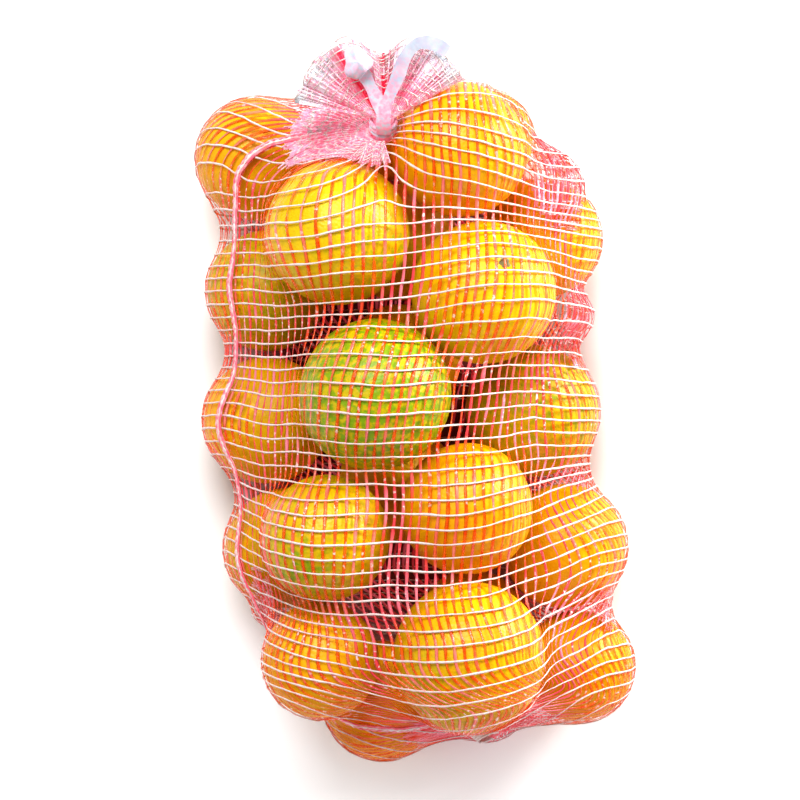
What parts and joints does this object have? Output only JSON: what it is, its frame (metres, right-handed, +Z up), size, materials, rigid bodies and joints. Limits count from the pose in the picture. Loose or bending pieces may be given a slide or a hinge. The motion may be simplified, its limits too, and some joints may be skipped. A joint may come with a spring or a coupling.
{
  "type": "net of oranges",
  "caption": "Tubular mesh bag packed tight with oranges, lying on its back, gathered at its mouth by a wound tape with a fanned frill of net above it.",
  "frame": {"origin": "on the floor under the middle of the part's bounding box", "axes": "+Z up out of the shown side, +Y along the bag towards its gathered mouth, +X to the right seen from above with the mouth ahead"},
  "size_m": [0.2454, 0.3874, 0.1428],
  "materials": {
    "net_mesh": "woven plastic net, red lengthways tapes and white crossways threads, over orange peel",
    "tape": "white soft plastic tape",
    "thread": "white twisted yarn of the net's crossways threads, seam and frill",
    "orange_peel": "waxy dimpled orange peel, gold to deep orange with green patches",
    "stem": "dry grey-green stem button"
  },
  "bodies": {
    "root": {"net_bag": "net_mesh", "closing_tape": "tape"}
  },
  "joints": []
}
